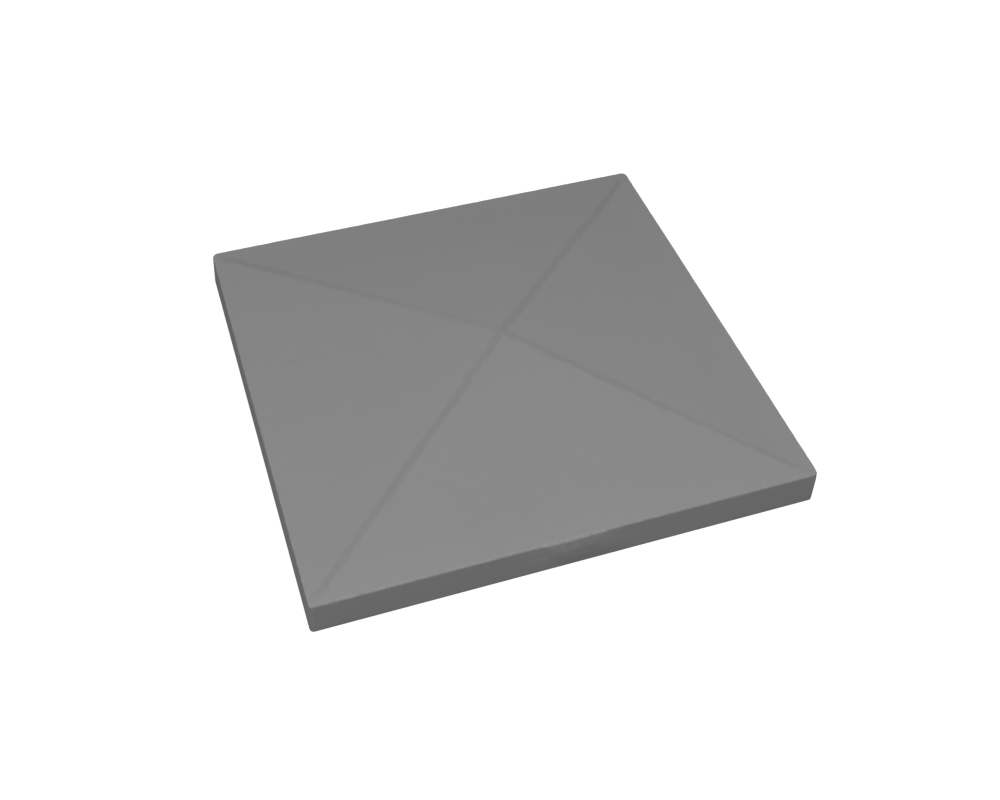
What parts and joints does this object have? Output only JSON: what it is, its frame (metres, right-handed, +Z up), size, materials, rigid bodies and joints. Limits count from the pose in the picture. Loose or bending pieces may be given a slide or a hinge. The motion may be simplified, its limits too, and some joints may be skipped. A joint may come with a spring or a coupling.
{
  "type": "pier cap",
  "caption": "Square cast concrete pier cap: a plain slab with a shallow pyramid top that sheds rain from the head of a masonry pier or gate post.",
  "frame": {"origin": "middle of the flat underside, on the surface that the cap is bedded on", "axes": "+Z up through the slab, +X and +Y along the sides of the square; the peak stands a little towards +X, and the side at -Y faces the viewer of the picture"},
  "size_m": [0.45, 0.45, 0.0612],
  "materials": {
    "concrete": "matte"
  },
  "bodies": {
    "root": {"pier_cap": "concrete"}
  },
  "joints": []
}
